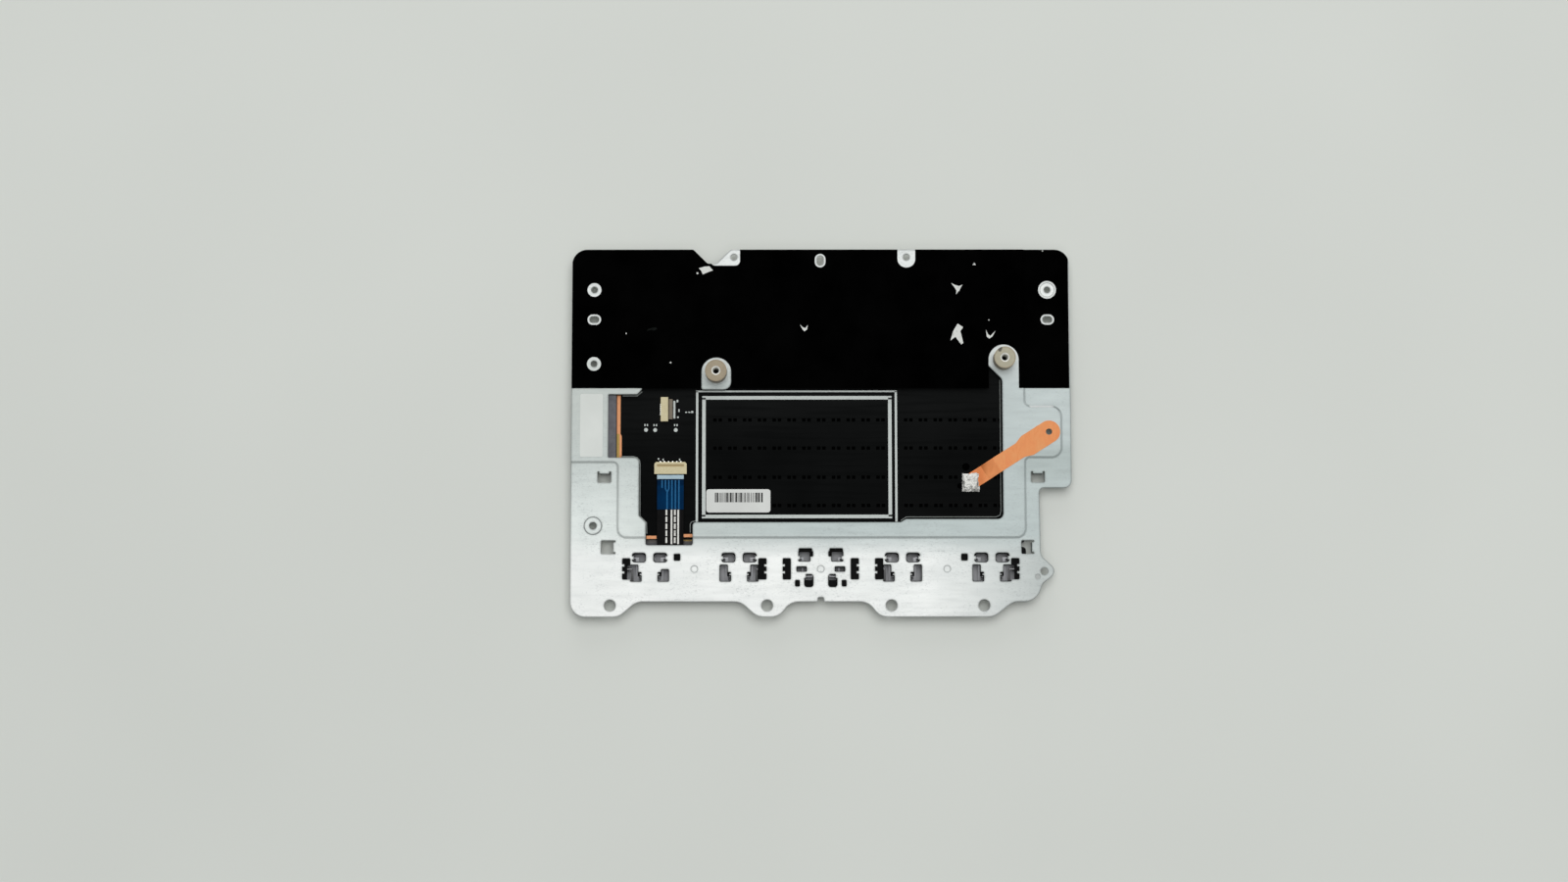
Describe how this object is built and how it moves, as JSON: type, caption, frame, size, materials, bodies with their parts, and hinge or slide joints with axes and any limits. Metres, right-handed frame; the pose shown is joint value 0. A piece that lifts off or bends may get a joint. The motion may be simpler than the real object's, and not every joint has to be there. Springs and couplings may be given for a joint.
{
  "type": "laptop touchpad",
  "caption": "Laptop touchpad module lying face down: pressed steel bracket with black film, sensor board in its window, flat cable and scissor keys along one edge.",
  "frame": {"origin": "middle of the module's outline, at the touch face it lies on", "axes": "+X along the long side, +Y from the keys towards the film edge, +Z out of the back"},
  "size_m": [0.1227, 0.0906, 0.0077],
  "materials": {
    "pressed_steel": "satin pressed sheet steel",
    "black_film": "matte black polyester film",
    "touch_face": "fine matte dark face",
    "clear_adhesive": "thin pale adhesive sheet",
    "black_board": "black solder mask",
    "black_foam": "black foam tape",
    "grey_foam": "dark grey foam",
    "tan_brass": "dull turned metal",
    "beige_plastic": "beige moulded plastic",
    "pale_plastic": "pale plastic",
    "tinned_metal": "tinned contacts",
    "brown_plastic": "brown plastic",
    "black_membrane": "black flexible sheet",
    "blue_plastic": "blue polyester",
    "copper_foil": "soft copper foil",
    "foil": "crinkled aluminium foil",
    "white_paper": "white label",
    "chip_black": "moulded package",
    "ceramic_tan": "small ceramic blocks",
    "key_plastic": "matte black key cap",
    "clear_rubber": "pale silicone",
    "spring_wire": "bright spring wire",
    "lever_plastic": "white moulded lever"
  },
  "bodies": {
    "module": {"support_bracket": "pressed_steel", "insulating_film": "black_film", "touch_surface": "touch_face", "surface_adhesive": "clear_adhesive", "sensor_board": "black_board", "board_tape": "black_foam", "corner_tape": "black_foam", "edge_gasket": "grey_foam", "standoff_left": "tan_brass", "standoff_right": "tan_brass", "cable_socket": "beige_plastic", "cable_contacts": "tinned_metal", "host_socket": "beige_plastic", "host_contacts": "tinned_metal", "switch_membrane": "black_membrane", "cable_stiffener": "blue_plastic", "copper_strap": "copper_foil", "foil_patch": "foil", "barcode_label": "white_paper", "side_label": "white_paper", "controller_chip": "chip_black", "board_capacitors": "ceramic_tan", "left_dome": "clear_rubber", "middle_dome": "clear_rubber", "right_dome": "clear_rubber"},
    "left_key_cap": {"left_key": "key_plastic"},
    "left_outer_levers": {"left_far_outer_lever": "lever_plastic", "left_near_outer_lever": "lever_plastic"},
    "left_inner_levers": {"left_far_inner_lever": "lever_plastic", "left_near_inner_lever": "lever_plastic"},
    "left_stabiliser": {"left_wire": "spring_wire"},
    "middle_key_cap": {"middle_key": "key_plastic"},
    "middle_outer_levers": {"middle_outer_lever": "lever_plastic"},
    "middle_inner_levers": {"middle_inner_lever": "lever_plastic"},
    "middle_stabiliser": {"middle_wire": "spring_wire"},
    "right_key_cap": {"right_key": "key_plastic"},
    "right_outer_levers": {"right_far_outer_lever": "lever_plastic", "right_near_outer_lever": "lever_plastic"},
    "right_inner_levers": {"right_far_inner_lever": "lever_plastic", "right_near_inner_lever": "lever_plastic"},
    "right_stabiliser": {"right_wire": "spring_wire"},
    "cable_lock": {"cable_latch": "pale_plastic"},
    "host_lock": {"host_latch": "brown_plastic"}
  },
  "joints": [
    {"name": "left_key_press", "type": "slide", "parent": "module", "child": "left_key_cap", "axis": [0, 0, 1], "range_m": [0, 0.0007], "stiffness_N_per_m": 800, "springref_m": -0.0002, "deforming": ["left_dome"]},
    {"name": "left_outer_levers_turn", "type": "hinge", "parent": "module", "child": "left_outer_levers", "pos_m": [0, -0.0309, 0.00235], "axis": [-1, 0, 0], "range_deg": [0, 8.78]},
    {"name": "left_inner_levers_turn", "type": "hinge", "parent": "left_key_cap", "child": "left_inner_levers", "pos_m": [0, -0.0309, 0.00115], "axis": [1, 0, 0], "range_deg": [0, 8.78]},
    {"name": "left_stabiliser_turn", "type": "hinge", "parent": "module", "child": "left_stabiliser", "pos_m": [0, -0.0336, 0.00235], "axis": [-1, 0, 0], "range_deg": [0, 8.59]},
    {"name": "middle_key_press", "type": "slide", "parent": "module", "child": "middle_key_cap", "axis": [0, 0, 1], "range_m": [0, 0.0007], "stiffness_N_per_m": 800, "springref_m": -0.0002, "deforming": ["middle_dome"]},
    {"name": "middle_outer_levers_turn", "type": "hinge", "parent": "module", "child": "middle_outer_levers", "pos_m": [0, -0.0309, 0.00235], "axis": [-1, 0, 0], "range_deg": [0, 8.78]},
    {"name": "middle_inner_levers_turn", "type": "hinge", "parent": "middle_key_cap", "child": "middle_inner_levers", "pos_m": [0, -0.0309, 0.00115], "axis": [1, 0, 0], "range_deg": [0, 8.78]},
    {"name": "middle_stabiliser_turn", "type": "hinge", "parent": "module", "child": "middle_stabiliser", "pos_m": [0, -0.0336, 0.00235], "axis": [-1, 0, 0], "range_deg": [0, 8.59]},
    {"name": "right_key_press", "type": "slide", "parent": "module", "child": "right_key_cap", "axis": [0, 0, 1], "range_m": [0, 0.0007], "stiffness_N_per_m": 800, "springref_m": -0.0002, "deforming": ["right_dome"]},
    {"name": "right_outer_levers_turn", "type": "hinge", "parent": "module", "child": "right_outer_levers", "pos_m": [0, -0.0309, 0.00235], "axis": [-1, 0, 0], "range_deg": [0, 8.78]},
    {"name": "right_inner_levers_turn", "type": "hinge", "parent": "right_key_cap", "child": "right_inner_levers", "pos_m": [0, -0.0309, 0.00115], "axis": [1, 0, 0], "range_deg": [0, 8.78]},
    {"name": "right_stabiliser_turn", "type": "hinge", "parent": "module", "child": "right_stabiliser", "pos_m": [0, -0.0336, 0.00235], "axis": [-1, 0, 0], "range_deg": [0, 8.59]},
    {"name": "cable_lock_flip", "type": "hinge", "parent": "module", "child": "cable_lock", "pos_m": [-0.0368, -0.01069, 0.00312], "axis": [-1, 0, 0], "range_deg": [0, 90]},
    {"name": "host_lock_flip", "type": "hinge", "parent": "module", "child": "host_lock", "pos_m": [-0.03718, 0.0057, 0.00305], "axis": [0, -1, 0], "range_deg": [0, 90]}
  ],
  "couplings": [
    {"joint": "left_outer_levers_turn", "follows": "left_key_press", "rad_per_m": 218.62},
    {"joint": "left_inner_levers_turn", "follows": "left_key_press", "rad_per_m": 218.62},
    {"joint": "left_stabiliser_turn", "follows": "left_key_press", "rad_per_m": 213.85},
    {"joint": "middle_outer_levers_turn", "follows": "middle_key_press", "rad_per_m": 218.62},
    {"joint": "middle_inner_levers_turn", "follows": "middle_key_press", "rad_per_m": 218.62},
    {"joint": "middle_stabiliser_turn", "follows": "middle_key_press", "rad_per_m": 213.85},
    {"joint": "right_outer_levers_turn", "follows": "right_key_press", "rad_per_m": 218.62},
    {"joint": "right_inner_levers_turn", "follows": "right_key_press", "rad_per_m": 218.62},
    {"joint": "right_stabiliser_turn", "follows": "right_key_press", "rad_per_m": 213.85}
  ]
}
